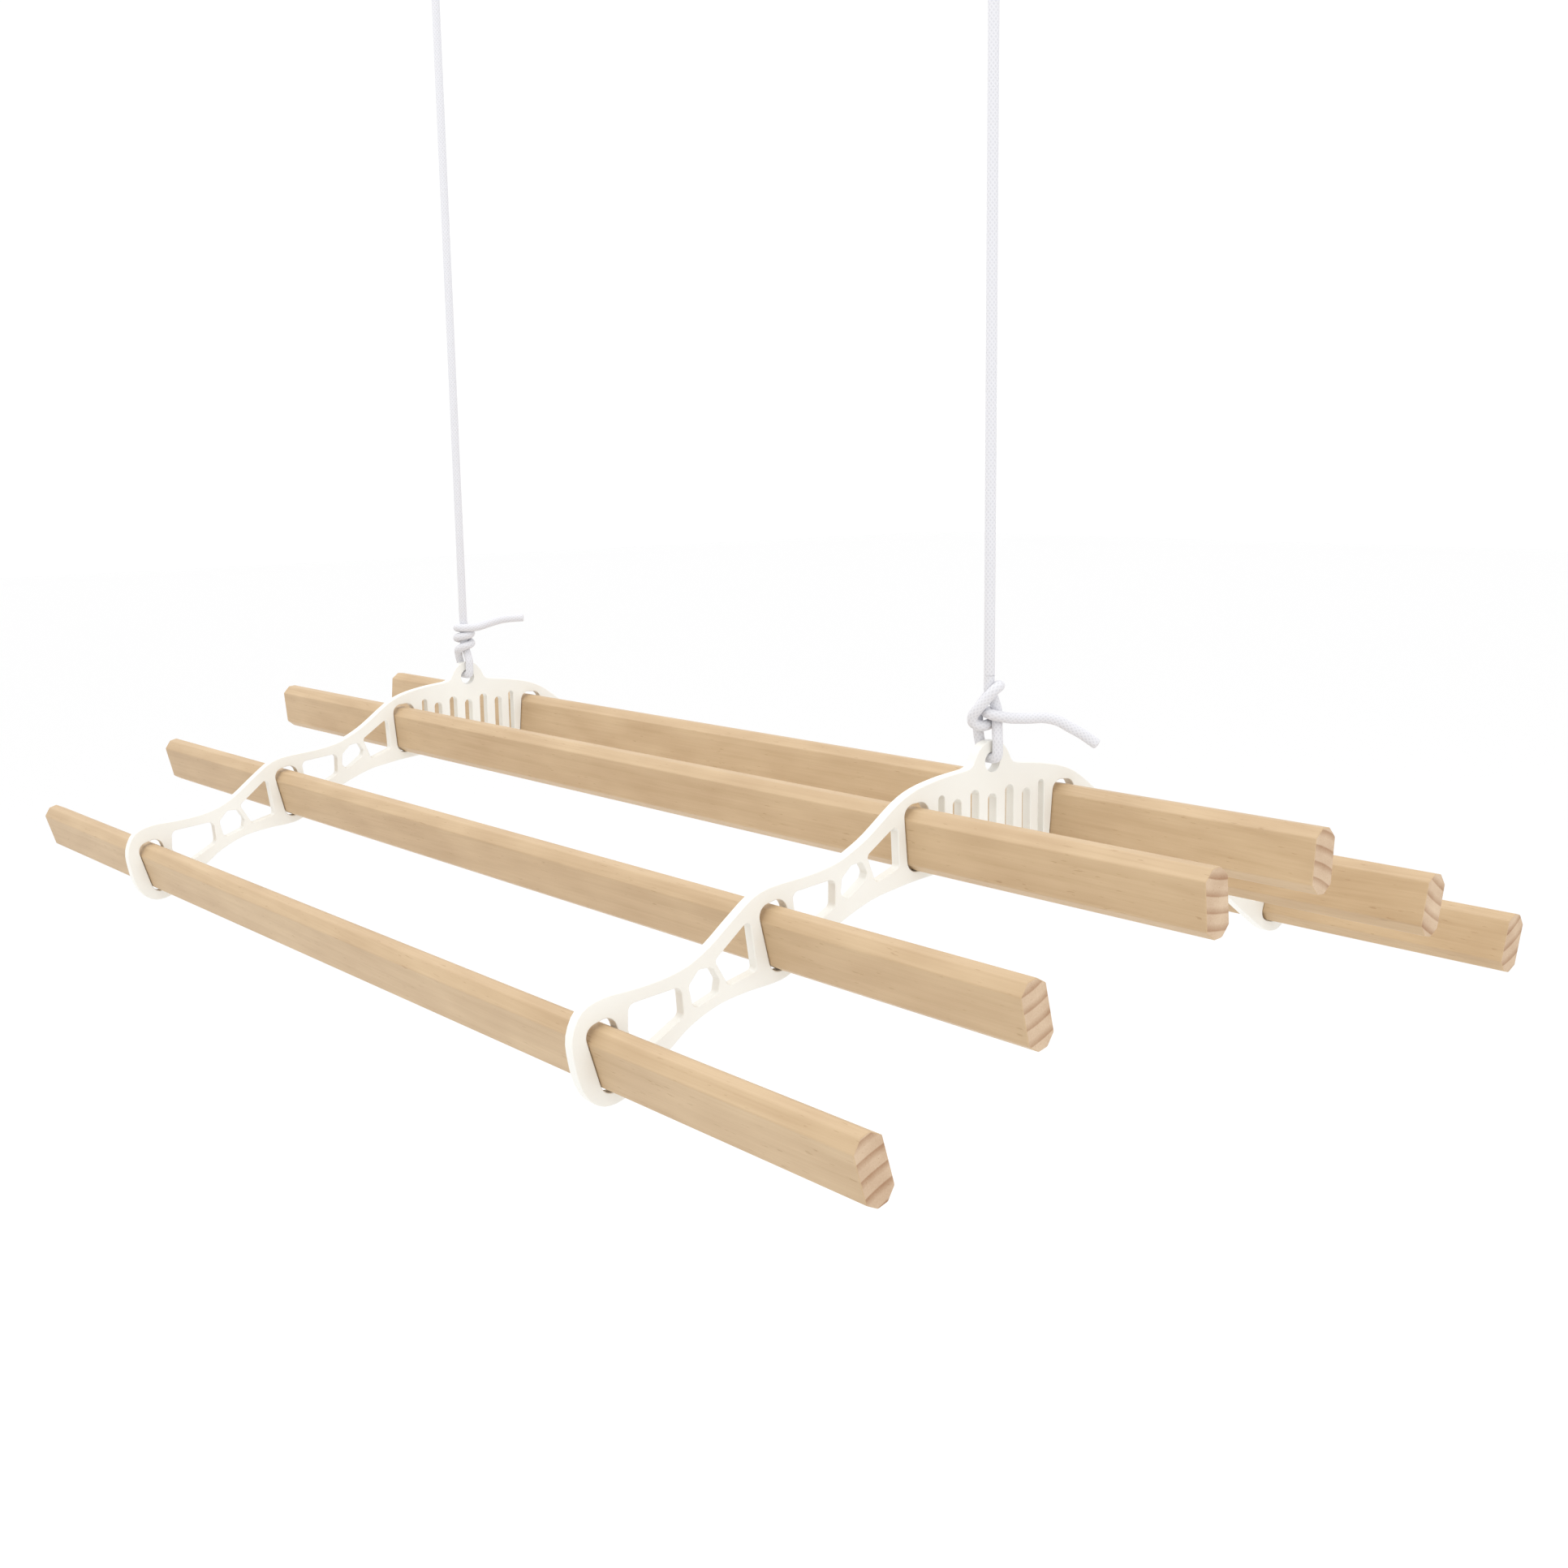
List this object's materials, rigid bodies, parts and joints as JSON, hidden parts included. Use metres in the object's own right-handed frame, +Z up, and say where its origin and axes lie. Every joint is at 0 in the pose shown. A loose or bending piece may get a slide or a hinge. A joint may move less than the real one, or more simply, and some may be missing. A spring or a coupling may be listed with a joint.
{
  "type": "ceiling mounted pulley rack",
  "caption": "Clothes airer of wooden laths in two arched cast ends, hung on ropes that run over ceiling pulleys to a cleat hook.",
  "frame": {"origin": "in the ceiling plane, midway between the two hanging ropes", "axes": "+X along the laths towards the double pulley and the cleat hook, +Y across the laths, +Z up out of the ceiling"},
  "size_m": [1.228, 0.6836, 0.9293],
  "materials": {
    "cast_end": "warm white gloss enamel over cast iron",
    "lath": "planed pine, bare",
    "rope": "white braided polyester",
    "ceiling_fitting": "warm white gloss enamel over cast iron",
    "pulley_wheel": "off-white nylon",
    "pin": "bright zinc"
  },
  "bodies": {
    "ceiling_fittings": {"single_pulley_bracket": "ceiling_fitting", "single_pulley_axle": "pin", "double_pulley_bracket": "ceiling_fitting", "double_pulley_axle": "pin", "double_pulley_washer": "pin", "cleat_hook": "ceiling_fitting", "cleat_turns": "rope", "overhead_rope_left": "rope", "overhead_rope_right": "rope"},
    "hangers": {"knot_left": "rope", "knot_right": "rope", "hanging_rope_left": "rope", "hanging_rope_right": "rope"},
    "rack": {"rack_end_left": "cast_end", "rack_end_right": "cast_end", "lath_1": "lath", "lath_2": "lath", "lath_3": "lath", "lath_4": "lath", "lath_5": "lath", "lath_6": "lath"},
    "single_wheel": {"single_pulley_wheel": "pulley_wheel"},
    "double_wheel_near": {"double_pulley_wheel_near": "pulley_wheel"},
    "double_wheel_far": {"double_pulley_wheel_far": "pulley_wheel"}
  },
  "joints": [
    {"name": "lift", "type": "slide", "parent": "ceiling_fittings", "child": "hangers", "axis": [0, 0, 1], "range_m": [0, 0.56], "deforming": ["hanging_rope_left", "hanging_rope_right"]},
    {"name": "rock", "type": "hinge", "parent": "hangers", "child": "rack", "pos_m": [0, 0, -0.7524], "axis": [1, 0, 0], "range_deg": [-15, 15]},
    {"name": "single_wheel_turn", "type": "hinge", "parent": "ceiling_fittings", "child": "single_wheel", "pos_m": [-0.332, 0, -0.036], "axis": [0, 1, 0], "range_deg": [0, 1400]},
    {"name": "double_wheel_near_turn", "type": "hinge", "parent": "ceiling_fittings", "child": "double_wheel_near", "pos_m": [0.378, 0, -0.036], "axis": [0, 1, 0], "range_deg": [0, 1400]},
    {"name": "double_wheel_far_turn", "type": "hinge", "parent": "ceiling_fittings", "child": "double_wheel_far", "pos_m": [0.378, 0.016, -0.036], "axis": [0, 1, 0], "range_deg": [0, 1400]}
  ],
  "couplings": [
    {"joint": "single_wheel_turn", "follows": "lift", "rad_per_m": 43.478},
    {"joint": "double_wheel_near_turn", "follows": "lift", "rad_per_m": 43.478},
    {"joint": "double_wheel_far_turn", "follows": "lift", "rad_per_m": 43.478}
  ]
}
